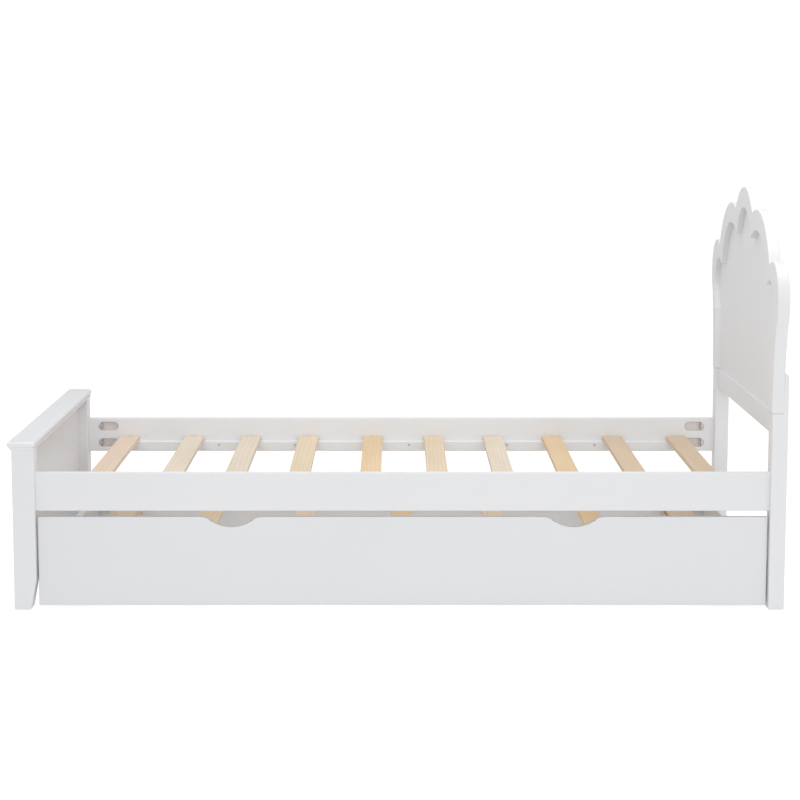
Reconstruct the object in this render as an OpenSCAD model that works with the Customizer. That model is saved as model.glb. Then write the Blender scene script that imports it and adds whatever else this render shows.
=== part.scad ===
// Trundle bed: a slatted bed on four legs with a scalloped headboard and a low footboard,
// and a wheeled trundle that rolls out from under its near side.
// X runs along the bed from the footboard (-X) to the headboard (+X), the near side faces -Y,
// and Z = 0 is the floor. The origin is on the floor under the middle of the whole bed.

/* [Bed] */
// Length over the footboard cap and the headboard legs
bed_length = 2028; // [1990:1:2080]
// Width over the outer faces of the posts
bed_width = 1070; // [1060:1:1090]
// Height of the middle lobe of the headboard
headboard_h = 1089; // [1070:1:1110]

/* [Posts and legs] */
// Side of a footboard post, and width of a headboard leg
post_w = 58; // [50:1:64]
// Thickness of a headboard leg along the bed
leg_t = 41; // [38:1:44]
// Height of the taper at the foot of a footboard post
taper_h = 82; // [40:1:110]
// How far that taper cuts into the post
taper_in = 15; // [5:1:20]
// Height of the plastic glides under the posts and legs
glide_h = 2; // [1:0.5:3]

/* [Footboard] */
// Height of the top of the cap
footboard_h = 449; // [440:1:480]
// Thickness of the rounded edge of the cap
cap_t = 18; // [14:1:20]
// How far the cap stands out past the outer side and the two ends
cap_out = 10; // [6:1:14]
// How far the cap stands out past the inner side
cap_in = 4; // [2:1:6]

/* [Side rails] */
// Height of a rail
rail_h = 102; // [96:1:120]
// Thickness of a rail
rail_t = 20; // [18:1:24]
// Height of a rail's lower edge above the floor
rail_z = 262; // [258:1:280]
// How far a rail's outer face lies behind the posts' faces
rail_setback = 18; // [12:1:22]
// Length of a bolt access slot
slot_l = 60; // [50:1:70]
// Width of a bolt access slot
slot_w = 27; // [24:1:28]

/* [Slats] */
// Width of a slat
slat_w = 58; // [50:1:68]
// Thickness of a slat
slat_t = 14; // [12:1:15]

/* [Trundle] */
// Height of the trundle's front panel
front_h = 236; // [220:1:238]
// Height of that panel's lower edge above the floor
front_z = 10; // [8:1:18]
// Gap at each end of that panel
front_gap = 4; // [3:0.5:8]
// Width of a hand cut-out in its top edge
handle_w = 160; // [130:1:180]
// Depth of a hand cut-out
handle_d = 27; // [22:1:34]
// Radius of a trundle wheel
wheel_r = 25; // [20:1:25]

/* [Hidden] */
$fn = 64;
white = [0.93, 0.93, 0.94];
pine = [0.9, 0.82, 0.7];
steel = [0.62, 0.63, 0.65];
plastic = [0.25, 0.25, 0.27];
NEAR = -1;
FAR = 1;

half_w = bed_width / 2;
post_in = half_w - post_w;
foot_out = cap_out - bed_length / 2;
foot_in = foot_out + post_w;
head_out = bed_length / 2;
head_in = head_out - leg_t;

// Footboard: cap, two rails and a thin panel in their grooves
cap_step_t = 6;
cap_step = 4;
cap_bottom = footboard_h - cap_t;
post_top = cap_bottom - cap_step_t;
foot_recess = 28;
foot_inner_x = foot_in - foot_recess;
foot_rail_t = 24;
foot_panel_t = 15;
groove = 8;
tongue_back = 4;
top_rail_h = 64;
low_rail_z = 80;
low_rail_h = 80;

// Floor glides: a round foot on a stem, under each post and leg (X, and Y of the far one)
glide_r = 11;
glide_stem_r = 2.5;
glide_stem_l = 15;
glide_fit = 0.1;
foot_glide = [foot_out + 22, half_w - post_w / 2];
head_glide = [head_in + leg_t / 2, half_w - post_w / 2];

// Side rails: slots, bolts and nuts
rail_y = half_w - rail_setback - rail_t;
slot_from_end = 30;
slot_depth = 14;
slot_heights = [rail_z + 26, rail_z + rail_h - 26];
bolt_r = 4;
bolt_hole_r = 4.5;
bolt_fit = 0.05;
bolt_in = 9;
bolt_in_post = 22;
bolt_past_rail_end = slot_from_end + 14;
insert_r = 6.5;
insert_l = 25;
nut_t = 12;
nut_w = 9;
nut_fit = 0.3;
nut_back = 0.5;
// X of each joint between a rail and a post or leg, and the way into the rail from there
bolt_ends = [[foot_in, 1], [head_in, -1]];

// Cleats along the rails, and the slats on them
bed_slats = 10;
trundle_slats = 7;
cleat_y = 22;
cleat_z = rail_z + 4;
cleat_h = 29;
slat_z = cleat_z + cleat_h;
cleat_off_slot = 3;
cleat_x0 = foot_in + slot_from_end + slot_l + cleat_off_slot;
cleat_x1 = head_in - slot_from_end - slot_l - cleat_off_slot;
slat_first = cleat_x0 + slat_w / 2;
slat_last = cleat_x1 - slat_w / 2;
slat_pitch = (slat_last - slat_first) / (bed_slats - 1);
// Hand fitting leaves each slat a little off its even place
slat_off = [4, 17, 5, -5, 6, 5, 0, -5, -5, 4];
slat_end_gap = 3;
screw_r = 2;
screw_head_r = 3.8;
screw_head_h = 2.4;
screw_sunk = 0.3;
screw_fit = 0.05;
cross_l = 4.2;
cross_w = 1;
cross_depth = 1.6;
slat_screw_l = 28;
cleat_screw_l = 30;
head_screw_l = 34;
cleat_screw_pitch = 290;
// and each screw of a cleat too
cleat_screw_off = [21, -36, 23, 33, 11];
cleat_screw_z = cleat_z + 18;
slat_screw_y = rail_y - 12;

// Headboard: leg, lap joint, scalloped frame, panel and bottom rail
shoulder_z = 521;
tongue_h = 104;
tongue_round = 10;
frame_t = 31;
frame_proud = 2;
frame_x = head_in - frame_proud;
tongue_x = frame_x + frame_t;
panel_t = 14;
panel_x = tongue_x - panel_t;
border = post_w;
rebate = 10;
rebate_gap = 0.5;
flare_r = 900;
flare_z = shoulder_z - 11;
flare_top = 775;
bottom_rail_top = shoulder_z - 2;
bottom_rail_h = 59;
bottom_rail_t = 28;
bottom_rail_x = head_in + 7;
dowel_r = 4;
dowel_l = 40;
dowel_fit = 0.05;
dowel_spread = 14;
head_screw_heights = [shoulder_z + 25, shoulder_z + 70];
head_screw_y = half_w - 23;

// Each lobe of the crest: centre from the middle line, centre height, radius
outer_lobes = [
    [0, headboard_h - 195.5, 195.5],
    [half_w - 313, headboard_h - 300, 247],
    [half_w - 44, headboard_h - 276, 100]
];
// The same for the edge of the inset panel
inner_lobes = [
    [0, headboard_h - 195.5, 195.5 - border],
    [half_w - 313, headboard_h - 300, 247 - border],
    [half_w - 85, headboard_h - 314, 85]
];

// Trundle
front_t = 19;
side_t = 18;
front_x0 = foot_in + front_gap;
front_x1 = head_in - front_gap;
front_mid = (front_x0 + front_x1) / 2;
front_y = -half_w + rail_setback;
front_back_y = front_y + front_t;
back_y = half_w - rail_setback - side_t;
low_z = 20;
low_h = 110;
end_in = 6;
end_x0 = front_x0 + end_in;
end_x1 = front_x1 - end_in;
inner_x0 = end_x0 + side_t;
inner_x1 = end_x1 - side_t;
tslat_z = 115;
tcleat_h = 33;
tcleat_t = 22;
tcleat_z = tslat_z - tcleat_h;
bearer_t = 20;
bearer_w = 90;
bearer_z = tcleat_z - bearer_t;
bearer_in = 40;
// X of the middles of the first and last slats
tslat_first = inner_x0 + 121;
tslat_last = inner_x1 - 115;
tslat_end_gap = 2;
tslat_pitch = (tslat_last - tslat_first) / (trundle_slats - 1);
tslat_off = [0, -20, -16, -4, -9, 5, 0];
handle_at = 449;
trundle_screw_l = 33;
end_screw_z = tcleat_z + 16;
long_screw_z = tcleat_z + 12;
long_screw_pitch = 360;
corner_screw_heights = [low_z + 20, low_z + 50];
// The bowl's share of the sum of its radius and the shoulders' radius
bowl_share = 0.7;

// Casters
wheel_w = 18;
// A ring-shaped hollow in each face of a wheel: inner radius, width and depth
hollow_r = 12;
hollow_w = 8;
hollow_depth = 3;
tread_round = 1.5;
axle_r = 3;
axle_fit = 0.05;
fork_gap = 22;
fork_t = 2;
fork_l = 32;
plate_t = 3;
plate_w = 60;
plate_l = 70;
plate_hole_x = 22;
plate_hole_y = 27;
caster_screw_l = 15;
caster_head_r = 3.6;
caster_head_top_r = 2.4;
caster_head_h = 1.8;
caster_hole_fit = 0.2;
cheek_below_axle = 8;
axle_past_cheek = 1.5;
caster_y = half_w - 135;
caster_x = [inner_x0 + bearer_in + bearer_w / 2, inner_x1 - bearer_in - bearer_w / 2];
caster_at = [[caster_x[0], NEAR], [caster_x[1], NEAR], [caster_x[0], FAR], [caster_x[1], FAR]];

SLATS = [for (i = [1 : bed_slats]) str(i < 10 ? "slat_0" : "slat_", i)];
TRUNDLE_SLATS = [for (i = [1 : trundle_slats]) str("trundle_slat_", i)];
CORNERS = ["near_foot", "near_head", "far_foot", "far_head"];
CASTERS = [for (c = CORNERS) str("caster_", c)];
WHEELS = [for (c = CORNERS) str("wheel_", c)];

// ---- helpers ----

// A flat shape drawn in Y and Z, made depth thick along +X from x
module in_yz(x, depth) {
    translate([x, 0, 0]) rotate([90, 0, 90]) linear_extrude(depth) children();
}

// A flat shape drawn in X and Z, made depth thick along +Y from y
module in_xz(y, depth) {
    translate([0, y + depth, 0]) rotate([90, 0, 0]) linear_extrude(depth) children();
}

// The near-side piece, or its mirror image on the far side
module on_side(side) {
    if (side == NEAR) children();
    else mirror([0, 1, 0]) children();
}

module block(low, high) {
    translate(low) cube(high - low);
}

// A rod from a point along +X, +Y or +Z
module rod_x(at, r, l) {
    translate(at) rotate([0, 90, 0]) cylinder(r = r, h = l);
}

module rod_y(at, r, l) {
    translate(at) rotate([-90, 0, 0]) cylinder(r = r, h = l);
}

// The outer form of a countersunk wood screw that points down from a face at Z = 0
module screw_form(l, grow = 0) {
    translate([0, 0, -screw_sunk - l]) cylinder(r = screw_r + grow, h = l);
    translate([0, 0, -screw_sunk - screw_head_h])
        cylinder(r1 = screw_r + grow, r2 = screw_head_r + grow, h = screw_head_h);
}

// That screw with a cross recess in its head, which lies just below the face
module screw(l) {
    difference() {
        screw_form(l);
        for (turn = [0, 90]) rotate(turn)
            translate([-cross_l / 2, -cross_w / 2, -screw_sunk - cross_depth])
                cube([cross_l, cross_w, cross_depth + 1]);
    }
}

// The hole for that screw, open at the face
module screw_hole(l) {
    screw_form(l + 1, screw_fit);
    translate([0, 0, -screw_sunk]) cylinder(r = screw_head_r + screw_fit, h = screw_sunk + 0.5);
}

// ---- footboard ----

module glide_hole(at) {
    translate([at[0], -at[1], glide_h]) cylinder(r = glide_stem_r + glide_fit, h = glide_stem_l + 1);
}

module footboard_post(side) {
    color(white) on_side(side) difference() {
        in_xz(-half_w, post_w) polygon([
            [foot_out, glide_h], [foot_in - taper_in, glide_h], [foot_in, taper_h],
            [foot_in, post_top], [foot_out, post_top]
        ]);
        for (z = [[low_rail_z, low_rail_z + low_rail_h], [post_top - top_rail_h, post_top + 1]])
            block([foot_inner_x - foot_rail_t, -post_in - groove, z[0]],
                  [foot_inner_x, -post_in + 1, z[1]]);
        block([foot_inner_x - foot_panel_t, -post_in - groove, low_rail_z],
              [foot_inner_x, -post_in + 1, post_top]);
        bolt_holes(foot_in - insert_l, insert_r, insert_l + 1);
        dowel_places() dowel(dowel_fit);
        glide_hole(foot_glide);
    }
}

// Two holes or rods along X at a rail's bolt heights, on the near side
module bolt_holes(x, r, l) {
    for (z = slot_heights) rod_x([x, -rail_y - bolt_in, z], r, l);
}

module cap_profile(width) {
    r = cap_t / 2;
    translate([r, cap_bottom]) square([width - cap_t, cap_t]);
    translate([r, cap_bottom + r]) circle(r);
    translate([width - r, cap_bottom + r]) circle(r);
}

module footboard_cap() {
    cap_w = post_w + cap_out + cap_in;
    cap_l = bed_width + 2 * cap_out;
    color(white) {
        intersection() {
            translate([foot_out - cap_out, 0, 0]) in_xz(-cap_l / 2, cap_l) cap_profile(cap_w);
            in_yz(foot_out - cap_out, cap_w) translate([-cap_l / 2, 0]) cap_profile(cap_l);
        }
        block([foot_out - cap_step, -half_w - cap_step, post_top],
              [foot_in + cap_in / 2, half_w + cap_step, cap_bottom + 1]);
    }
}

module footboard_rail(z, h, panel_above) {
    panel_z = panel_above ? z + h - groove : z - 1;
    difference() {
        block([foot_inner_x - foot_rail_t, -post_in - groove, z],
              [foot_inner_x, post_in + groove, z + h]);
        block([foot_inner_x - foot_panel_t, -post_in - groove - 1, panel_z],
              [foot_inner_x - tongue_back, post_in + groove + 1, panel_z + groove + 1]);
        for (side = [NEAR, FAR]) on_side(side) dowel_places() dowel(dowel_fit);
    }
}

module footboard_top_rail() {
    color(white) footboard_rail(post_top - top_rail_h, top_rail_h, false);
}

module footboard_bottom_rail() {
    color(white) footboard_rail(low_rail_z, low_rail_h, true);
}

// The panel is flush with the rails' inner faces, with a tongue along each edge
module footboard_panel() {
    z0 = low_rail_z + low_rail_h;
    z1 = post_top - top_rail_h;
    color(white) {
        block([foot_inner_x - foot_panel_t, -post_in - groove, z0], [foot_inner_x, post_in + groove, z1]);
        block([foot_inner_x - foot_panel_t, -post_in - groove, z0 - groove],
              [foot_inner_x - tongue_back, post_in + groove, z1 + groove]);
    }
}

// ---- side rails ----

module slot_shape(z) {
    r = slot_w / 2;
    translate([r, z - r]) square([slot_l - slot_w, slot_w]);
    translate([r, z]) circle(r);
    translate([slot_l - r, z]) circle(r);
}

module side_rail(side) {
    color(white) on_side(side) difference() {
        block([foot_in, -rail_y - rail_t, rail_z], [head_in, -rail_y, rail_z + rail_h]);
        for (x = [foot_in + slot_from_end, head_in - slot_from_end - slot_l], z = slot_heights)
            translate([x, 0, 0]) in_xz(-rail_y - slot_depth, slot_depth + 1) slot_shape(z);
        bolt_holes(foot_in - 1, bolt_hole_r, slot_from_end + slot_w / 2);
        bolt_holes(head_in + 1 - slot_from_end - slot_w / 2, bolt_hole_r, slot_from_end + slot_w / 2);
        cleat_screw_places() screw_hole(cleat_screw_l);
    }
}

// The screws through a cleat into its rail, on the near side, heads flush with the cleat's face
module cleat_screw_places() {
    last = len(cleat_screw_off) - 1;
    for (i = [0 : last]) {
        x = (cleat_x0 + cleat_x1) / 2 + (i - last / 2) * cleat_screw_pitch + cleat_screw_off[i];
        translate([x, -rail_y + cleat_y, cleat_screw_z]) rotate([-90, 0, 0]) children();
    }
}

module slat_cleat(side) {
    color(white) on_side(side) difference() {
        block([cleat_x0, -rail_y, cleat_z], [cleat_x1, -rail_y + cleat_y, slat_z]);
        cleat_screw_places() screw_hole(cleat_screw_l);
        slat_screw_places() screw_hole(slat_screw_l);
    }
}

module rail_bolts() {
    bolt_l = bolt_in_post + bolt_past_rail_end;
    color(steel) for (side = [NEAR, FAR]) on_side(side) {
        bolt_holes(foot_in - bolt_in_post, bolt_r, bolt_l);
        bolt_holes(head_in + bolt_in_post - bolt_l, bolt_r, bolt_l);
    }
}

module rail_inserts() {
    color(steel) for (side = [NEAR, FAR]) on_side(side) for (e = bolt_ends) difference() {
        bolt_holes(e[1] > 0 ? e[0] - insert_l : e[0], insert_r, insert_l);
        bolt_holes(e[1] > 0 ? e[0] - insert_l - 1 : e[0] - 1, bolt_r + bolt_fit, insert_l + 2);
    }
}

// Half-moon nuts that sit in the round end of each slot
module rail_nuts() {
    r = slot_w / 2 - nut_fit;
    color(steel) for (side = [NEAR, FAR]) on_side(side) for (e = bolt_ends, z = slot_heights) {
        end_x = e[0] + e[1] * slot_from_end;
        mid_x = end_x + e[1] * slot_w / 2;
        difference() {
            in_xz(-rail_y - slot_depth + nut_back, nut_t) intersection() {
                translate([mid_x, z]) circle(r);
                translate([e[1] > 0 ? end_x : end_x - nut_w, z - slot_w / 2]) square([nut_w, slot_w]);
            }
            rod_x([end_x - slot_w / 2, -rail_y - bolt_in, z], bolt_r + bolt_fit, slot_w);
        }
    }
}

// ---- slats ----

function slat_x(i) = slat_first + i * slat_pitch + slat_off[i];

// One screw through each end of each slat into the cleats
module slat_screw_places(which = [0 : bed_slats - 1]) {
    for (i = which, y = [-slat_screw_y, slat_screw_y])
        translate([slat_x(i), y, slat_z + slat_t]) children();
}

module slat(i) {
    color(pine) difference() {
        block([slat_x(i) - slat_w / 2, -rail_y + slat_end_gap, slat_z],
              [slat_x(i) + slat_w / 2, rail_y - slat_end_gap, slat_z + slat_t]);
        slat_screw_places([i]) screw_hole(slat_screw_l);
    }
}

module slat_screws() {
    color(steel) slat_screw_places() screw(slat_screw_l);
}

module cleat_screws() {
    color(steel) for (side = [NEAR, FAR]) on_side(side) cleat_screw_places() screw(cleat_screw_l);
}

// ---- headboard ----

module headboard_leg(side) {
    tongue_top = shoulder_z + tongue_h;
    color(white) on_side(side) difference() {
        in_xz(-half_w, post_w) {
            translate([head_in, glide_h]) square([leg_t, shoulder_z - glide_h]);
            tongue_t = head_out - tongue_x;
            translate([tongue_x, shoulder_z - 1]) square([tongue_t, tongue_h + 1 - tongue_round]);
            translate([tongue_x, shoulder_z]) square([tongue_t - tongue_round, tongue_h]);
            intersection() {
                translate([head_out - tongue_round, tongue_top - tongue_round]) circle(tongue_round);
                translate([tongue_x, shoulder_z]) square([tongue_t, tongue_h]);
            }
        }
        bolt_holes(head_in - 1, insert_r, insert_l + 1);
        glide_hole(head_glide);
        head_screw_places() screw_hole(head_screw_l);
        dowel_places() dowel(dowel_fit);
    }
}

// The outline of the crest above low_edge: the lobes, on sides that flare out under them
module crest(lobes, side_w, low_edge) {
    for (side = [-1, 1], lobe = lobes) translate([side * lobe[0], lobe[1]]) circle(lobe[2]);
    difference() {
        translate([-side_w - 60, low_edge]) square([2 * side_w + 120, flare_top - low_edge]);
        for (side = [-1, 1]) translate([side * (side_w + flare_r), flare_z]) circle(flare_r);
    }
}

// The edge of the inset, moved out by grow
module inset(grow, low_edge) {
    crest([for (lobe = inner_lobes) [lobe[0], lobe[1], lobe[2] + grow]], half_w - border + grow,
          low_edge);
}

module headboard_frame() {
    color(white) difference() {
        in_yz(frame_x, frame_t) crest(outer_lobes, half_w, shoulder_z);
        in_yz(frame_x - 1, frame_t + 2) inset(0, shoulder_z - 1);
        in_yz(panel_x, panel_t + 1) inset(rebate, shoulder_z - 1);
        for (side = [NEAR, FAR]) on_side(side) head_screw_places() screw_hole(head_screw_l);
    }
}

module headboard_panel() {
    tongue_w = post_in - 1;
    color(white) {
        in_yz(panel_x, panel_t) inset(rebate - rebate_gap, shoulder_z);
        block([panel_x, -tongue_w, bottom_rail_top - groove], [tongue_x, tongue_w, shoulder_z + 1]);
    }
}

module headboard_bottom_rail() {
    color(white) difference() {
        block([bottom_rail_x, -post_in, bottom_rail_top - bottom_rail_h],
              [bottom_rail_x + bottom_rail_t, post_in, bottom_rail_top]);
        block([panel_x, -post_in - 1, bottom_rail_top - groove],
              [tongue_x, post_in + 1, bottom_rail_top + 1]);
        for (side = [NEAR, FAR]) on_side(side) dowel_places() dowel(dowel_fit);
    }
}

// Two screws through a leg's tongue into the frame, on the near side, heads on the outer face
module head_screw_places() {
    for (z = head_screw_heights)
        translate([head_out, -head_screw_y, z]) rotate([0, 90, 0]) children();
}

module headboard_screws() {
    color(steel) for (side = [NEAR, FAR]) on_side(side) head_screw_places() screw(head_screw_l);
}

// Dowels that pin the headboard's bottom rail and the footboard's two rails to the near posts
module dowel_places() {
    head_mid = bottom_rail_top - bottom_rail_h / 2;
    for (z = [head_mid - dowel_spread, head_mid + dowel_spread])
        translate([bottom_rail_x + bottom_rail_t / 2, -post_in, z]) children();
    for (mid = [low_rail_z + low_rail_h / 2, post_top - top_rail_h / 2])
        for (z = [mid - dowel_spread, mid + dowel_spread])
            translate([foot_inner_x - foot_rail_t / 2, -post_in - groove, z]) children();
}

module dowel(grow = 0) {
    end_gap = 4 * grow;
    rod_y([0, -dowel_l / 2 - end_gap, 0], dowel_r + grow, dowel_l + 2 * end_gap);
}

module rail_dowels() {
    color(pine) for (side = [NEAR, FAR]) on_side(side) dowel_places() dowel();
}

module floor_glides() {
    color(plastic) for (side = [NEAR, FAR], at = [foot_glide, head_glide]) on_side(side)
        translate([at[0], -at[1], 0]) {
            cylinder(r = glide_r, h = glide_h);
            cylinder(r = glide_stem_r, h = glide_h + glide_stem_l);
        }
}

// ---- trundle ----

// One hand cut-out: a bowl between two rounded shoulders, all arcs that run into each other
module handle_cutout(x, top) {
    half = handle_w / 2;
    both_r = (half * half + handle_d * handle_d) / (2 * handle_d);
    bowl_r = bowl_share * both_r;
    shoulder_r = both_r - bowl_r;
    bowl_z = top - handle_d + bowl_r;
    meet_z = top - shoulder_r + (1 - bowl_share) * (both_r - handle_d);
    translate([x, 0]) {
        // the bowl runs on a little above the meeting point, inside the wider shape there
        intersection() {
            translate([0, bowl_z]) circle(bowl_r);
            translate([-half, top - handle_d - 1]) square([handle_w, meet_z - top + handle_d + 2]);
        }
        difference() {
            translate([-half, meet_z]) square([handle_w, top + 1 - meet_z]);
            for (side = [-1, 1]) translate([side * half, top - shoulder_r]) circle(shoulder_r);
        }
    }
}

module trundle_front() {
    top = front_z + front_h;
    color(white) difference() {
        block([front_x0, front_y, front_z], [front_x1, front_back_y, top]);
        in_xz(front_y - 1, front_t + 2)
            for (side = [-1, 1]) handle_cutout(front_mid + side * handle_at, top);
        trundle_screw_places() screw_hole(trundle_screw_l);
    }
}

module trundle_back_rail() {
    color(white) difference() {
        block([end_x0, back_y, low_z], [end_x1, back_y + side_t, low_z + low_h]);
        trundle_screw_places() screw_hole(trundle_screw_l);
    }
}

module trundle_end_rail(x) {
    color(white) difference() {
        block([x, front_back_y, low_z], [x + side_t, back_y, low_z + low_h]);
        trundle_screw_places() screw_hole(trundle_screw_l);
    }
}

module trundle_cleat(y) {
    color(white) difference() {
        block([inner_x0, y, tcleat_z], [inner_x1, y + tcleat_t, tslat_z]);
        tslat_screw_places() screw_hole(slat_screw_l);
        trundle_screw_places() screw_hole(trundle_screw_l);
    }
}

module trundle_bearer(x) {
    color(pine) difference() {
        block([x, front_back_y, bearer_z], [x + bearer_w, back_y, tcleat_z]);
        trundle_screw_places() screw_hole(trundle_screw_l);
        for (c = caster_at) caster_screw_places(c)
            translate([0, 0, -caster_screw_l - 1]) cylinder(r = screw_r + screw_fit, h = caster_screw_l + 2);
    }
}

// The screws of the trundle's box, all heads out of sight from the front
module trundle_screw_places() {
    cleat_ys = [front_back_y + tcleat_t / 2, back_y - tcleat_t / 2];
    // through the end rails into the ends of the cleats
    for (y = cleat_ys) {
        translate([end_x0, y, end_screw_z]) rotate([0, -90, 0]) children();
        translate([end_x1, y, end_screw_z]) rotate([0, 90, 0]) children();
    }
    // through the back rail into the end rails
    for (x = [end_x0 + side_t / 2, end_x1 - side_t / 2], z = corner_screw_heights)
        translate([x, back_y + side_t, z]) rotate([-90, 0, 0]) children();
    // through the cleats into the front panel and the back rail
    for (i = [-2 : 2]) {
        x = front_mid + i * long_screw_pitch;
        translate([x, front_back_y + tcleat_t, long_screw_z]) rotate([-90, 0, 0]) children();
        translate([x, back_y - tcleat_t, long_screw_z]) rotate([90, 0, 0]) children();
    }
    // up through the bearers into the cleats
    for (x = caster_x, y = cleat_ys) translate([x, y, bearer_z]) rotate([180, 0, 0]) children();
}

module trundle_screws() {
    color(steel) trundle_screw_places() screw(trundle_screw_l);
}

function tslat_x(i) = tslat_first + i * tslat_pitch + tslat_off[i];

module tslat_screw_places(which = [0 : trundle_slats - 1]) {
    for (i = which, y = [front_back_y + tcleat_t / 2, back_y - tcleat_t / 2])
        translate([tslat_x(i), y, tslat_z + slat_t]) children();
}

module trundle_slat(i) {
    color(pine) difference() {
        block([tslat_x(i) - slat_w / 2, front_back_y + tslat_end_gap, tslat_z],
              [tslat_x(i) + slat_w / 2, back_y - tslat_end_gap, tslat_z + slat_t]);
        tslat_screw_places([i]) screw_hole(slat_screw_l);
    }
}

module trundle_slat_screws() {
    color(steel) tslat_screw_places() screw(slat_screw_l);
}

// ---- casters ----

// A plate under the bearer with two cheeks that hold the axle
module caster(i) {
    x = caster_at[i][0];
    y = caster_at[i][1] * caster_y;
    plate_z = bearer_z - plate_t;
    color(steel) difference() {
        union() {
            block([x - plate_w / 2, y - plate_l / 2, plate_z], [x + plate_w / 2, y + plate_l / 2, bearer_z]);
            for (cheek_x = [x - fork_gap / 2 - fork_t, x + fork_gap / 2])
                in_yz(cheek_x, fork_t) cheek_shape(y, plate_z + 1);
        }
        caster_screw_places(caster_at[i]) translate([0, 0, -1])
            cylinder(r = screw_r + caster_hole_fit, h = plate_t + 2);
        rod_x([x - fork_gap, y, wheel_r], axle_r + axle_fit, 2 * fork_gap);
    }
}

// A cheek narrows from the plate down to a round end about the axle
module cheek_shape(y, top) {
    polygon([
        [y - fork_l / 2, top], [y - cheek_below_axle, wheel_r],
        [y + cheek_below_axle, wheel_r], [y + fork_l / 2, top]
    ]);
    translate([y, wheel_r]) circle(cheek_below_axle);
}

// Four screws up through a caster's plate, heads below it
module caster_screw_places(c) {
    for (dx = [-plate_hole_x, plate_hole_x], dy = [-plate_hole_y, plate_hole_y])
        translate([c[0] + dx, c[1] * caster_y + dy, bearer_z]) rotate([180, 0, 0]) children();
}

module caster_screws() {
    color(steel) for (c = caster_at) caster_screw_places(c) {
        translate([0, 0, plate_t])
            cylinder(r1 = caster_head_r, r2 = caster_head_top_r, h = caster_head_h);
        translate([0, 0, -caster_screw_l]) cylinder(r = screw_r, h = caster_screw_l + plate_t);
    }
}

module caster_axles() {
    l = fork_gap + 2 * (fork_t + axle_past_cheek);
    color(steel) for (c = caster_at) rod_x([c[0] - l / 2, c[1] * caster_y, wheel_r], axle_r, l);
}

module wheel(i) {
    bore_r = axle_r + axle_fit;
    color(plastic) translate([caster_at[i][0], caster_at[i][1] * caster_y, wheel_r])
        rotate([0, 90, 0]) rotate_extrude() difference() {
            polygon([
                [bore_r, -wheel_w / 2], [wheel_r - tread_round, -wheel_w / 2],
                [wheel_r, tread_round - wheel_w / 2], [wheel_r, wheel_w / 2 - tread_round],
                [wheel_r - tread_round, wheel_w / 2], [bore_r, wheel_w / 2]
            ]);
            for (end = [-1, 1]) translate([hollow_r, end * wheel_w / 2 - hollow_depth])
                square([hollow_w, 2 * hollow_depth]);
        }
}

// ---- pieces ----

footboard_post(NEAR);  // footboard_post_near
footboard_post(FAR);  // footboard_post_far
footboard_cap();
footboard_top_rail();
footboard_bottom_rail();
footboard_panel();
side_rail(NEAR);  // side_rail_near
side_rail(FAR);  // side_rail_far
slat_cleat(NEAR);  // slat_cleat_near
slat_cleat(FAR);  // slat_cleat_far
for (i = [0 : bed_slats - 1]) slat(i);
headboard_leg(NEAR);  // headboard_leg_near
headboard_leg(FAR);  // headboard_leg_far
headboard_frame();
headboard_panel();
headboard_bottom_rail();
headboard_screws();
rail_bolts();
rail_inserts();
rail_nuts();
rail_dowels();
cleat_screws();
slat_screws();
floor_glides();
trundle_front();
trundle_back_rail();
trundle_end_rail(end_x0);  // trundle_end_rail_foot
trundle_end_rail(end_x1 - side_t);  // trundle_end_rail_head
trundle_cleat(front_back_y);  // trundle_cleat_front
trundle_cleat(back_y - tcleat_t);  // trundle_cleat_back
trundle_bearer(inner_x0 + bearer_in);  // trundle_bearer_foot
trundle_bearer(inner_x1 - bearer_in - bearer_w);  // trundle_bearer_head
for (i = [0 : trundle_slats - 1]) trundle_slat(i);
trundle_slat_screws();
trundle_screws();
for (i = [0 : 3]) caster(i);
caster_axles();
caster_screws();
for (i = [0 : 3]) wheel(i);
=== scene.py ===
import math

import bpy
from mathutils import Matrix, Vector
from mathutils.bvhtree import BVHTree


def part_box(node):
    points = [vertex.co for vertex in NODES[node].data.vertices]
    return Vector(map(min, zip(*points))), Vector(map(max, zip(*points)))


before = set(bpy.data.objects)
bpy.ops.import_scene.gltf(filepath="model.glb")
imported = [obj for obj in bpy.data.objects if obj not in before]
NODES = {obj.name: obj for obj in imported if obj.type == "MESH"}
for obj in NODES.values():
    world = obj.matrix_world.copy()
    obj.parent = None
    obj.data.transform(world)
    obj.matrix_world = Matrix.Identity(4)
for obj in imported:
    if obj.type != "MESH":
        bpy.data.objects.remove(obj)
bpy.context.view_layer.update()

# Looks of the trundle bed. The imported frame holds every part and its place; this script gives
# the parts procedural materials and most of them eased edges, and sets up the floor, the light and the
# camera.

MM = 0.001

# Eased edges: their widths, the steps that round them and the least angle that counts as a corner
PAINTED_EASE = 2.5 * MM
SLAT_EASE = 1.5 * MM
METAL_EASE = 0.3 * MM
EASE_STEPS = 3
METAL_EASE_STEPS = 2
EASE_ANGLE = math.radians(32)
# After easing, any corner still steeper than this is shaded crisp
CRISP_ANGLE = math.radians(40)
# How far a corner's shading leans to the larger face beside it: 50 is neutral, 100 the most
LARGE_FACE_WEIGHT = 90
# Corners of a CAD mesh closer together than this are one, and so are faces this nearly level
SAME_PLACE = 0.01 * MM
LEVEL_ANGLE = math.radians(0.2)
# The kinds of edge: one where the surface runs on, a corner that is open to the air all round,
# and any other corner, which is hollow or at a joint with another part
RUNS_ON, OPEN_CORNER, OTHER_CORNER = range(3)
# A point this far outside one face of an edge and this far under the other tells whether
# another part covers that face there, at the edge or within an ease's width of it
FEEL_OUT = 0.6 * MM
FEEL_UNDER = (0.45 * MM, 2.9 * MM)

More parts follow.
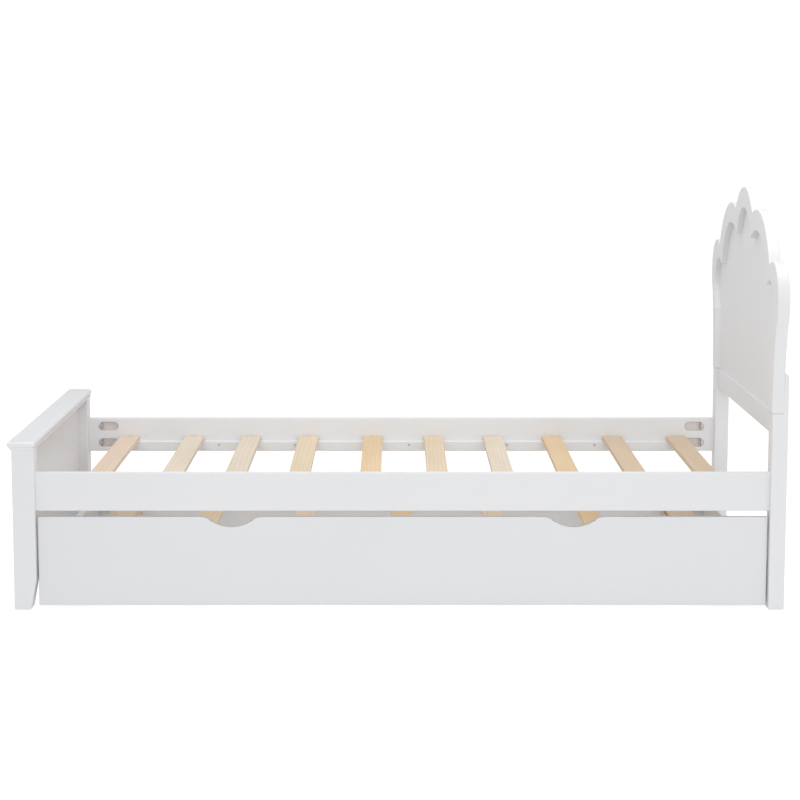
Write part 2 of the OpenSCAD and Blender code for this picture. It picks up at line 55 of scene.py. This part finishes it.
# Camera: its place in metres, its tilt in degrees, its lens in millimetres, a small shift
# sideways as a share of the picture's width, and how far it sees in metres
CAMERA_AT = (-0.0077, -6.171, 1.307)
CAMERA_DOWN = 7.577
CAMERA_LENS = 98.775
CAMERA_SHIFT_X = 0.0069
CAMERA_REACH = 100.0

# Floor and sky: how brightly each glows as a source of light, and as the camera sees it
FLOOR_BOUNCE = 0.46
FLOOR_SEEN = 0.78
SKY = 0.61
BACKDROP = 1.05
WHITE = (1.0, 1.0, 1.0)
FLOOR_GREY = (0.45, 0.45, 0.45)
FLOOR_ROUGHNESS = 0.95
FLOOR_HALF_WIDTH = 40.0

# Lamps: where each one is, the point that it faces, and its width and height, in metres
BED_MIDDLE = (0.0, 0.0, 0.4)
LAMPS = {
    "front": {"at": (0.0, -6.0, 1.9), "facing": BED_MIDDLE, "size": (3.6, 3.0), "watts": 82.0},
    "right": {"at": (3.6, -4.6, 2.0), "facing": BED_MIDDLE, "size": (2.0, 2.0), "watts": 16.0},
    "top": {"at": (0.2, -0.3, 2.6), "facing": (0.2, -0.3, 0.0), "size": (4.4, 0.9), "watts": 37.0},
}

# Patterns: scales are in features a metre, and a pair of them runs along and across the grain.
# Nearly all of a noise's values lie in NOISE_RANGE, and those of two added noises in SUM_RANGE.
NOISE_RANGE = (0.3, 0.7)
SUM_RANGE = (0.7, 1.3)

# Paint
PAINT_COLOUR = (0.765, 0.770, 0.785)
# The trundle front's paint is a shade darker: painted shade, since the low trundle front gets less light
TRUNDLE_SHADED_COLOUR = (0.735, 0.742, 0.760)
PAINT_CLOUD = 3.0
PAINT_GRAIN = (6.0, 260.0)
PAINT_SPRAY = 900.0
PAINT_SHADE = (0.985, 1.0)
PAINT_ROUGHNESS = (0.34, 0.44)
GRAIN_DEPTH = 0.05 * MM
SPRAY_DEPTH = 0.012 * MM
# The walls of a side rail's slots, deeper than its painted skin, where wood shows in patches
PAINTED_SKIN = 1.2 * MM
BARE_WOOD = (0.76, 0.70, 0.67)
BARE_ROUGHNESS = 0.7
BARE_PATCHES = 160.0
# The painted shadow of a tight joint under paint, drawn as a fine dark line: half its width, how far
# its box reaches past the upper piece, how strongly it shows, its colour
SEAM_HALF = 0.6 * MM
SEAM_REACH = 1.0 * MM
SEAM_SHADOW_STRENGTH = 0.75
SEAM_SHADOW_COLOUR = (0.16, 0.15, 0.15)

# Pine: late wood and knots as shares of a piece's tone, and how far two pieces whose seeds
# differ by one lie apart in the pattern, in metres
LATE_WOOD = (0.86, 0.78, 0.66)
KNOT_WOOD = (0.60, 0.45, 0.32)
SEED_STEP = (0.137, 0.211, 0.073)
# The growth lines: radians a metre across the piece and down it, how far they wander and how
# far a knot bends them, in radians, and how narrow the late wood is
RINGS_ACROSS = 520.0
RINGS_DOWN = 340.0
RING_WANDER = 16.0
KNOT_BEND = 5.0
LATE_NARROWNESS = 2.5
# The most that late wood, fibres and knots colour the wood
LATE_COVER = 0.42
FIBRE_COVER = 0.30
KNOT_COVER = 0.75
PINE_KNOTS = (1.7, 9.0)
PINE_WANDER = (1.1, 8.0)
PINE_FIBRE = (14.0, 1300.0)
PINE_SLOW = (2.5, 14.0)
PINE_SHADE = (0.93, 1.03)
PINE_ROUGHNESS = (0.66, 0.52)
FIBRE_DEPTH = 0.05 * MM
LATE_DEPTH = 0.06 * MM
PINE_TONES = {
    "rosy": (0.80, 0.64, 0.52),
    "cream": (0.78, 0.68, 0.56),
    "straw": (0.79, 0.66, 0.48),
    "honey": (0.79, 0.60, 0.38),
    "tan": (0.71, 0.56, 0.41),
}
SLAT_TONES = ["rosy", "cream", "cream", "straw", "honey", "straw", "cream", "honey", "tan", "tan"]
TRUNDLE_SLAT_TONES = ["tan", "straw", "rosy", "honey", "straw", "honey", "tan"]
BEARER_TONES = {"trundle_bearer_foot": "straw", "trundle_bearer_head": "tan"}
# The bed slats have the seeds 1 to 10
TRUNDLE_SLAT_SEED = 21
BEARER_SEED = 40
DOWEL_SEED = 60

# Metal and plastic
ZINC_DARK = (0.48, 0.49, 0.50)
ZINC_LIGHT = (0.66, 0.67, 0.69)
ZINC_MOTTLE = 220.0
ZINC_ROUGHNESS = (0.28, 0.42)
MOTTLE_DEPTH = 0.02 * MM
GLIDE_COLOUR = (0.72, 0.72, 0.71)
WHEEL_COLOUR = (0.03, 0.03, 0.032)
PLASTIC_CLOUD = 40.0
PLASTIC_SPECKLE = 1500.0
PLASTIC_SHADE = (0.94, 1.0)
PLASTIC_ROUGHNESS = (0.42, 0.55)
SPECKLE_DEPTH = 0.03 * MM


# ---- node tree helper ----

class Tree:
    """A material's node tree, with one short method for each kind of node used here."""

    def __init__(self, name):
        self.material = bpy.data.materials.new(name)
        self.material.use_nodes = True
        self.nodes = self.material.node_tree.nodes
        self.links = self.material.node_tree.links
        self.shader = self.nodes["Principled BSDF"]

    def node(self, kind, sockets=None, **settings):
        made = self.nodes.new(kind)
        for key, value in settings.items():
            setattr(made, key, value)
        for key, value in (sockets or {}).items():
            self.feed(made.inputs[key], value)
        return made

    def feed(self, socket, value):
        if isinstance(value, bpy.types.NodeSocket):
            self.links.new(value, socket)
        else:
            socket.default_value = value

    def place(self, scale, offset=(0.0, 0.0, 0.0)):
        """The piece's own coordinates, in metres, moved by offset and then scaled."""
        at = self.node("ShaderNodeTexCoord").outputs["Object"]
        moved = self.node("ShaderNodeVectorMath", {0: at, 1: offset}, operation="ADD")
        scaled = self.node("ShaderNodeVectorMath", {0: moved.outputs[0], 1: scale}, operation="MULTIPLY")
        return scaled.outputs[0]

    def inside(self, low, high):
        """1 where the piece's own coordinates are inside a box, 0 elsewhere."""
        parts = self.node("ShaderNodeSeparateXYZ", {0: self.place(all_ways(1.0))})
        product = None
        for name, least, most in zip("XYZ", low, high):
            above = self.maths("GREATER_THAN", parts.outputs[name], least)
            within = self.maths("MULTIPLY", above, self.maths("LESS_THAN", parts.outputs[name], most))
            product = within if product is None else self.maths("MULTIPLY", product, within)
        return product

    def noise(self, vector, scale=1.0, detail=2.0, roughness=0.5, distortion=0.0):
        sockets = {"Vector": vector, "Scale": scale, "Detail": detail, "Roughness": roughness,
                   "Distortion": distortion}
        return self.node("ShaderNodeTexNoise", sockets).outputs["Fac"]

    def maths(self, operation, a, b=0.0, clamp=False):
        return self.node("ShaderNodeMath", {0: a, 1: b}, operation=operation, use_clamp=clamp).outputs[0]

    def span(self, value, low, high, to_low=0.0, to_high=1.0):
        sockets = {"Value": value, "From Min": low, "From Max": high, "To Min": to_low,
                   "To Max": to_high}
        return self.node("ShaderNodeMapRange", sockets).outputs[0]

    def blend(self, factor, a, b, mode="MIX"):
        """Two colours mixed. The node's colour sockets are its inputs 6 and 7 and its output 2."""
        made = self.node("ShaderNodeMix", data_type="RGBA", blend_type=mode)
        self.feed(made.inputs[0], factor)
        self.feed(made.inputs[6], a)
        self.feed(made.inputs[7], b)
        return made.outputs[2]

    def bump(self, height, depth, under=None):
        sockets = {"Height": height, "Strength": 1.0, "Distance": depth}
        if under is not None:
            sockets["Normal"] = under
        return self.node("ShaderNodeBump", sockets).outputs[0]

    def finish(self, colour, roughness, normal=None, **fixed):
        self.feed(self.shader.inputs["Base Color"], colour)
        self.feed(self.shader.inputs["Roughness"], roughness)
        if normal is not None:
            self.feed(self.shader.inputs["Normal"], normal)
        for key, value in fixed.items():
            self.shader.inputs[key.replace("_", " ")].default_value = value
        return self.material


def rgba(colour):
    return (*colour, 1.0)


def all_ways(scale):
    """The same scale along every axis."""
    return (scale, scale, scale)


def along(axis, long_scale, cross_scale):
    """A scale that is long_scale along one axis and cross_scale across it."""
    return tuple(long_scale if name == axis else cross_scale for name in "xyz")


# ---- materials ----

def satin_paint(name, axis, colour=PAINT_COLOUR, bare_inside=None, seam_shadow=None):
    """Sprayed satin paint: a faint grain under it along axis, a fine spray texture, soft gloss
    changes. Surfaces inside the box bare_inside, such as those of a slot, show wood. A flat box along
    a joint with another piece gets a painted shadow: the fine dark line of the joint."""
    tree = Tree(name)
    cloud = tree.noise(tree.place(all_ways(PAINT_CLOUD)), detail=3.0)
    grain = tree.noise(tree.place(along(axis, *PAINT_GRAIN)), detail=4.0, roughness=0.6)
    spray = tree.noise(tree.place(all_ways(PAINT_SPRAY)), detail=1.0)
    shade = tree.span(cloud, *NOISE_RANGE, *PAINT_SHADE)
    tone = tree.blend(1.0, rgba(colour), shade, "MULTIPLY")
    gloss = tree.span(tree.maths("ADD", cloud, grain), *SUM_RANGE, *PAINT_ROUGHNESS)
    if bare_inside:
        patchy = tree.noise(tree.place(all_ways(BARE_PATCHES)), detail=2.0)
        inside = tree.inside(*bare_inside)
        cover = tree.maths("MULTIPLY", inside, tree.span(patchy, 0.35, 0.6, 0.35, 1.0))
        tone = tree.blend(cover, tone, rgba(BARE_WOOD))
        gloss = tree.span(inside, 0.0, 1.0, gloss, BARE_ROUGHNESS)
    if seam_shadow:
        # the joint's fine dark line is a painted shadow laid over the paint
        seam_shadow_share = tree.maths("MULTIPLY", tree.inside(*seam_shadow), SEAM_SHADOW_STRENGTH)
        tone = tree.blend(seam_shadow_share, tone, rgba(SEAM_SHADOW_COLOUR))
    relief = tree.bump(spray, SPRAY_DEPTH, tree.bump(grain, GRAIN_DEPTH))
    return tree.finish(tone, gloss, relief)


def pine(name, axis, seed, tone):
    """Planed pine: straight growth lines along axis that wander a little, fine fibres, slow
    changes of colour and a few small knots."""
    tree = Tree(name)
    early_wood = rgba(tone)
    late_wood = rgba(tuple(part * share for part, share in zip(tone, LATE_WOOD)))
    knot_wood = rgba(tuple(part * share for part, share in zip(tone, KNOT_WOOD)))
    shift = tuple(seed * step for step in SEED_STEP)
    at = tree.place(all_ways(1.0), shift)
    knots = tree.node("ShaderNodeTexVoronoi", {"Vector": tree.place(along(axis, *PINE_KNOTS), shift),
                                               "Scale": 1.0, "Randomness": 1.0})
    near_knot = tree.span(knots.outputs["Distance"], 0.0, 0.22, 1.0, 0.0)
    wander = tree.noise(tree.place(along(axis, *PINE_WANDER), shift), detail=1.5)
    split = tree.node("ShaderNodeSeparateXYZ", {0: at})
    across = split.outputs["Y" if axis == "x" else "X"]
    rings = tree.maths("ADD", tree.maths("MULTIPLY", across, RINGS_ACROSS),
                       tree.maths("MULTIPLY", split.outputs["Z"], RINGS_DOWN))
    rings = tree.maths("ADD", rings, tree.maths("MULTIPLY", wander, RING_WANDER))
    rings = tree.maths("ADD", rings, tree.maths("MULTIPLY", near_knot, KNOT_BEND))
    late = tree.maths("POWER", tree.span(tree.maths("SINE", rings), -1.0, 1.0), LATE_NARROWNESS)
    fibre = tree.noise(tree.place(along(axis, *PINE_FIBRE), shift), detail=3.0, roughness=0.7)
    slow = tree.noise(tree.place(along(axis, *PINE_SLOW), shift), detail=2.0)
    colour = tree.blend(tree.maths("MULTIPLY", late, LATE_COVER), early_wood, late_wood)
    colour = tree.blend(tree.span(fibre, 0.42, 0.78, 0.0, FIBRE_COVER), colour, late_wood)
    colour = tree.blend(1.0, colour, tree.span(slow, *NOISE_RANGE, *PINE_SHADE), "MULTIPLY")
    colour = tree.blend(tree.span(near_knot, 0.55, 0.85, 0.0, KNOT_COVER), colour, knot_wood)
    relief = tree.bump(fibre, FIBRE_DEPTH, tree.bump(late, LATE_DEPTH))
    return tree.finish(colour, tree.span(late, 0.0, 1.0, *PINE_ROUGHNESS), relief)


def zinc(name):
    """Zinc plating with a fine mottle."""
    tree = Tree(name)
    mottle = tree.noise(tree.place(all_ways(ZINC_MOTTLE)), detail=3.0)
    colour = tree.blend(mottle, rgba(ZINC_DARK), rgba(ZINC_LIGHT))
    relief = tree.bump(mottle, MOTTLE_DEPTH)
    return tree.finish(colour, tree.span(mottle, *NOISE_RANGE, *ZINC_ROUGHNESS), relief, Metallic=1.0)


def moulded_plastic(name, colour):
    """Matt plastic with a fine speckle and slow changes of shade."""
    tree = Tree(name)
    speckle = tree.noise(tree.place(all_ways(PLASTIC_SPECKLE)), detail=1.0)
    cloud = tree.noise(tree.place(all_ways(PLASTIC_CLOUD)), detail=2.0)
    tone = tree.blend(1.0, rgba(colour), tree.span(cloud, *NOISE_RANGE, *PLASTIC_SHADE), "MULTIPLY")
    gloss = tree.span(cloud, *NOISE_RANGE, *PLASTIC_ROUGHNESS)
    return tree.finish(tone, gloss, tree.bump(speckle, SPECKLE_DEPTH))


# ---- parts ----

def solid_shapes():
    """Each CAD node's surface and box, to feel whether a point is inside it."""
    shapes = {}
    for name, part in NODES.items():
        corners = [vertex.co for vertex in part.data.vertices]
        faces = [tuple(face.vertices) for face in part.data.polygons]
        shapes[name] = (BVHTree.FromPolygons(corners, faces), *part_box(name))
    return shapes


SHAPES = solid_shapes()


def covered(point, own_name):
    """Whether a point lies inside any other part."""
    for name, (surface, low, high) in SHAPES.items():
        if name == own_name or any(not low[i] < point[i] < high[i] for i in range(3)):
            continue
        near, normal, _, _ = surface.find_nearest(point)
        if (point - near).dot(normal) < 0.0:
            return True
    return False


def corner_kinds(name):
    """The kind of each edge of a CAD node."""
    mesh = NODES[name].data
    place = [tuple(round(value / SAME_PLACE) for value in vertex.co) for vertex in mesh.vertices]
    faces_at = {}
    for face in mesh.polygons:
        for a, b in face.edge_keys:
            faces_at.setdefault(frozenset((place[a], place[b])), []).append(face)
    kinds = {}
    for edge in mesh.edges:
        a, b = edge.vertices
        key = frozenset((place[a], place[b]))
        if key not in kinds:
            middle = (mesh.vertices[a].co + mesh.vertices[b].co) / 2
            kinds[key] = corner_kind(name, middle, faces_at.get(key, []))
    return [kinds[frozenset(place[v] for v in edge.vertices)] for edge in mesh.edges]


def corner_kind(name, middle, faces):
    """The kind of one edge, from its middle and the faces that meet at it."""
    if len(faces) != 2:
        return RUNS_ON
    first, second = faces
    if first.normal.angle(second.normal, 0.0) < EASE_ANGLE:
        return RUNS_ON
    if (second.center - middle).dot(first.normal) > 0.0:
        return OTHER_CORNER
    for out, under in ((first.normal, second.normal), (second.normal, first.normal)):
        if any(covered(middle + out * FEEL_OUT - under * depth, name) for depth in FEEL_UNDER):
            return OTHER_CORNER
    return OPEN_CORNER


def crisp_corners():
    """A modifier's node group that marks each edge steeper than CRISP_ANGLE as sharp."""
    group = bpy.data.node_groups.new("crisp_corners", "GeometryNodeTree")
    group.interface.new_socket("Geometry", in_out="INPUT", socket_type="NodeSocketGeometry")
    group.interface.new_socket("Geometry", in_out="OUTPUT", socket_type="NodeSocketGeometry")
    start = group.nodes.new("NodeGroupInput")
    end = group.nodes.new("NodeGroupOutput")
    angle = group.nodes.new("GeometryNodeInputMeshEdgeAngle")
    steep = group.nodes.new("FunctionNodeCompare")
    steep.data_type = "FLOAT"
    steep.operation = "GREATER_THAN"
    steep.inputs["B"].default_value = CRISP_ANGLE
    shade = group.nodes.new("GeometryNodeSetShadeSmooth")
    shade.domain = "EDGE"
    shade.inputs["Shade Smooth"].default_value = False
    group.links.new(angle.outputs["Unsigned Angle"], steep.inputs["A"])
    group.links.new(steep.outputs["Result"], shade.inputs["Selection"])
    group.links.new(start.outputs[0], shade.inputs[0])
    group.links.new(shade.outputs[0], end.inputs[0])
    return group


CRISP_CORNERS = crisp_corners()


def ease(name, width, steps=EASE_STEPS):
    """Joins a CAD node's split corners and rounds those that are open to the air."""
    shape = NODES[name]
    mesh = shape.data
    kinds = corner_kinds(name)
    normals = mesh.attributes.get("custom_normal")
    if normals:
        mesh.attributes.remove(normals)
    mesh.shade_smooth()
    weight = mesh.attributes.new("bevel_weight_edge", "FLOAT", "EDGE")
    weight.data.foreach_set("value", [float(kind == OPEN_CORNER) for kind in kinds])
    sharp = mesh.attributes.get("sharp_edge") or mesh.attributes.new("sharp_edge", "BOOLEAN", "EDGE")
    sharp.data.foreach_set("value", [kind == OTHER_CORNER for kind in kinds])
    weld = shape.modifiers.new("weld", "WELD")
    weld.merge_threshold = SAME_PLACE
    flat = shape.modifiers.new("flat", "DECIMATE")
    flat.decimate_type = "DISSOLVE"
    flat.angle_limit = LEVEL_ANGLE
    flat.delimit = {"SHARP"}
    bevel = shape.modifiers.new("ease", "BEVEL")
    bevel.width = width
    bevel.segments = steps
    bevel.limit_method = "WEIGHT"
    bevel.use_clamp_overlap = False
    bevel.loop_slide = False
    bevel.miter_outer = "MITER_SHARP"
    shape.modifiers.new("crisp", "NODES").node_group = CRISP_CORNERS
    even = shape.modifiers.new("even", "WEIGHTED_NORMAL")
    even.weight = LARGE_FACE_WEIGHT
    even.keep_sharp = True


def dress(material, *names):
    """Gives parts a material in place of their CAD one."""
    for name in names:
        NODES[name].data.materials.clear()
        NODES[name].data.materials.append(material)


def paint_parts():
    groups = {
        "x": ["slat_cleat_near", "slat_cleat_far", "trundle_back_rail", "trundle_cleat_front",
              "trundle_cleat_back"],
        "y": ["footboard_cap", "footboard_top_rail", "footboard_bottom_rail", "footboard_panel",
              "headboard_bottom_rail", "trundle_end_rail_foot", "trundle_end_rail_head"],
        "z": ["footboard_post_near", "footboard_post_far"],
    }
    for axis, names in groups.items():
        dress(satin_paint(f"paint_{axis}", axis), *names)
        for name in names:
            ease(name, PAINTED_EASE)
    # the headboard's panel is held all round, so it has no open edge to ease
    dress(satin_paint("paint_panel", "z"), "headboard_panel")
    # the headboard frame stands on a shoulder of each leg, and its foot shows as a fine line of painted
    # shadow, which ends at the frame's back, where the legs run on upwards
    low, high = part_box("headboard_frame")
    line_low = low - Vector((SEAM_REACH, SEAM_REACH, SEAM_HALF))
    line_high = Vector((high.x, high.y + SEAM_REACH, low.z + SEAM_HALF))
    jointed = ["headboard_leg_near", "headboard_leg_far", "headboard_frame"]
    dress(satin_paint("paint_seam_shadowed", "z", seam_shadow=(line_low, line_high)), *jointed)
    for name in jointed:
        ease(name, PAINTED_EASE)
    # the trundle front takes the darker paint, a painted shade for the lesser light low down
    dress(satin_paint("shaded_paint_trundle_front", "x", TRUNDLE_SHADED_COLOUR), "trundle_front")
    ease("trundle_front", PAINTED_EASE)
    for name in ("side_rail_near", "side_rail_far"):
        low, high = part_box(name)
        skin = Vector(all_ways(PAINTED_SKIN))
        dress(satin_paint(f"paint_{name}", "x", bare_inside=(low + skin, high - skin)), name)
        ease(name, PAINTED_EASE)


def pine_parts():
    for number, tone in enumerate(SLAT_TONES, start=1):
        pine_part(f"slat_{number:02d}", number, tone)
    for step, tone in enumerate(TRUNDLE_SLAT_TONES):
        pine_part(f"trundle_slat_{step + 1}", TRUNDLE_SLAT_SEED + step, tone)
    for step, (name, tone) in enumerate(BEARER_TONES.items()):
        pine_part(name, BEARER_SEED + step, tone)
    dress(pine("pine_dowels", "y", DOWEL_SEED, PINE_TONES["tan"]), "rail_dowels")


def pine_part(name, seed, tone):
    dress(pine(f"pine_{name}", "y", seed, PINE_TONES[tone]), name)
    ease(name, SLAT_EASE)


def metal_and_plastic_parts():
    fixings = [n for n in NODES if n.endswith(("_screws", "_bolts", "_inserts", "_axles"))]
    casters = [n for n in NODES if n.startswith("caster_") and n not in fixings]
    dress(zinc("zinc"), "rail_nuts", *fixings, *casters)
    for name in ["rail_nuts", *casters]:
        ease(name, METAL_EASE, METAL_EASE_STEPS)
    dress(moulded_plastic("glide_plastic", GLIDE_COLOUR), "floor_glides")
    wheels = [n for n in NODES if n.startswith("wheel_")]
    dress(moulded_plastic("wheel_plastic", WHEEL_COLOUR), *wheels)


# ---- stage ----

def floor():
    """A plain white floor: bright for the camera, with soft shadows, and less bright as a
    source of bounced light."""
    mesh = bpy.data.meshes.new("floor")
    far = FLOOR_HALF_WIDTH
    corners = [(-far, -far, 0.0), (far, -far, 0.0), (far, far, 0.0), (-far, far, 0.0)]
    mesh.from_pydata(corners, [], [(0, 1, 2, 3)])
    ground = bpy.data.objects.new("floor", mesh)
    bpy.context.scene.collection.objects.link(ground)
    tree = Tree("floor")
    seen = tree.node("ShaderNodeLightPath").outputs["Is Camera Ray"]
    tree.feed(tree.shader.inputs["Emission Strength"], tree.span(seen, 0.0, 1.0, FLOOR_BOUNCE, FLOOR_SEEN))
    mesh.materials.append(tree.finish(rgba(FLOOR_GREY), FLOOR_ROUGHNESS, Specular_IOR_Level=0.0,
                                      Emission_Color=rgba(WHITE)))


def soft_box(name, at, facing, size, watts):
    """A rectangular lamp."""
    lamp = bpy.data.lights.new(name, "AREA")
    lamp.shape = "RECTANGLE"
    lamp.size, lamp.size_y = size
    lamp.energy = watts
    holder = bpy.data.objects.new(name, lamp)
    holder.location = at
    holder.rotation_euler = (Vector(facing) - Vector(at)).to_track_quat("-Z", "Y").to_euler()
    bpy.context.scene.collection.objects.link(holder)


def light():
    """An even white sky, brighter behind the bed as the camera sees it, and the lamps."""
    scene = bpy.context.scene
    world = bpy.data.worlds.new("studio")
    world.use_nodes = True
    nodes, links = world.node_tree.nodes, world.node_tree.links
    ambient = nodes["Background"]
    ambient.inputs["Color"].default_value = rgba(WHITE)
    ambient.inputs["Strength"].default_value = SKY
    backdrop = nodes.new("ShaderNodeBackground")
    backdrop.inputs["Color"].default_value = rgba(WHITE)
    backdrop.inputs["Strength"].default_value = BACKDROP
    seen = nodes.new("ShaderNodeLightPath").outputs["Is Camera Ray"]
    choose = nodes.new("ShaderNodeMixShader")
    links.new(seen, choose.inputs[0])
    links.new(ambient.outputs[0], choose.inputs[1])
    links.new(backdrop.outputs[0], choose.inputs[2])
    links.new(choose.outputs[0], nodes["World Output"].inputs["Surface"])
    scene.world = world
    for name, lamp in LAMPS.items():
        soft_box(name, **lamp)
    scene.view_settings.view_transform = "Standard"


def camera():
    lens = bpy.data.cameras.new("camera")
    lens.lens = CAMERA_LENS
    lens.shift_x = CAMERA_SHIFT_X
    lens.clip_end = CAMERA_REACH
    holder = bpy.data.objects.new("camera", lens)
    holder.location = CAMERA_AT
    holder.rotation_euler = (math.radians(90.0 - CAMERA_DOWN), 0.0, 0.0)
    bpy.context.scene.collection.objects.link(holder)
    bpy.context.scene.camera = holder


paint_parts()
pine_parts()
metal_and_plastic_parts()
floor()
light()
camera()
